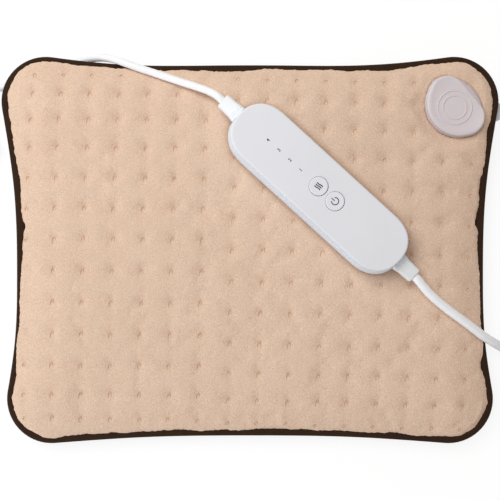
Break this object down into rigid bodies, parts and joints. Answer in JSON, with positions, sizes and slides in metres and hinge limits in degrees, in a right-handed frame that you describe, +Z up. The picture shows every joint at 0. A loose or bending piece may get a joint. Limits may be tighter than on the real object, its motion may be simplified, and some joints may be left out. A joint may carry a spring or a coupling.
{
  "type": "heating pad with controller",
  "caption": "Quilted fleece heating pad with bound edge, corner plug-in socket, hand controller with push buttons, pad lead and coiled mains lead with flat plug.",
  "frame": {"origin": "middle of the pad at the height of the surface it lies on", "axes": "+Z up out of the pad, +Y towards the edge with the socket, +X towards the side with the socket"},
  "size_m": [0.5787, 0.3138, 0.0478],
  "materials": {
    "fleece": "short cream fleece pile over wadding",
    "backing": "cream fleece backing",
    "binding": "dark brown woven binding tape",
    "carrier_cloth": "thin non-woven carrier",
    "wire_sheath": "insulated heating and supply wire",
    "dark_plastic": "black moulded component body",
    "clear_plastic": "clear moulding",
    "lamp": "amber moulding",
    "socket_shell": "mauve-white satin moulding",
    "contact_brass": "turned contact pin",
    "screw_steel": "plated screw",
    "cord_sheath": "white flexible sheath",
    "relief_rubber": "white flexible moulding",
    "controller_shell": "cool white satin moulding",
    "button": "cool white satin button",
    "board": "green circuit board",
    "tie_strap": "dark hook and loop strap",
    "pin_chrome": "nickel-plated plug pin"
  },
  "bodies": {
    "heating_pad": {"back_cover": "backing", "cable_tie": "tie_strap", "case_screw_1": "screw_steel", "case_screw_2": "screw_steel", "case_screw_3": "screw_steel", "case_screw_4": "screw_steel", "circuit_board": "board", "edge_binding": "binding", "film_capacitor": "lamp", "front_cover": "fleece", "fuse": "clear_plastic", "heat_switch": "dark_plastic", "heater_carrier": "carrier_cloth", "heating_wire": "wire_sheath", "level_lamp_1": "lamp", "level_lamp_2": "lamp", "level_lamp_3": "lamp", "level_lamp_4": "lamp", "light_guide": "clear_plastic", "lower_shell": "controller_shell", "mains_lead": "cord_sheath", "mains_lead_clamp": "controller_shell", "mains_lead_coil": "cord_sheath", "mains_lead_grommet": "relief_rubber", "mains_lead_tail": "cord_sheath", "microcontroller": "dark_plastic", "pad_lead": "cord_sheath", "pad_lead_clamp": "controller_shell", "pad_lead_grommet": "relief_rubber", "pad_plug_body": "socket_shell", "pad_plug_relief": "relief_rubber", "plug_body": "cord_sheath", "plug_pin_1": "pin_chrome", "plug_pin_2": "pin_chrome", "plug_relief": "cord_sheath", "power_switch": "dark_plastic", "reservoir_capacitor": "dark_plastic", "sensor_wire": "wire_sheath", "socket_base": "socket_shell", "socket_cover": "socket_shell", "socket_pin_1": "contact_brass", "socket_pin_2": "contact_brass", "socket_pin_3": "contact_brass", "socket_screw_1": "screw_steel", "socket_screw_2": "screw_steel", "socket_screw_3": "screw_steel", "supply_wire_1": "wire_sheath", "supply_wire_2": "wire_sheath", "temperature_sensor": "clear_plastic", "thermal_cutout_1": "dark_plastic", "thermal_cutout_2": "dark_plastic", "triac": "dark_plastic", "upper_shell": "controller_shell"},
    "heat_button": {"heat_button": "button", "heat_plunger": "dark_plastic"},
    "power_button": {"power_button": "button", "power_plunger": "dark_plastic"}
  },
  "joints": [
    {"name": "heat_button_press", "type": "slide", "parent": "heating_pad", "child": "heat_button", "axis": [0, 0, -1], "range_m": [0, 0.0008], "stiffness_N_per_m": 300, "springref_m": -0.0004},
    {"name": "power_button_press", "type": "slide", "parent": "heating_pad", "child": "power_button", "axis": [0, 0, -1], "range_m": [0, 0.0008], "stiffness_N_per_m": 300, "springref_m": -0.0004}
  ]
}
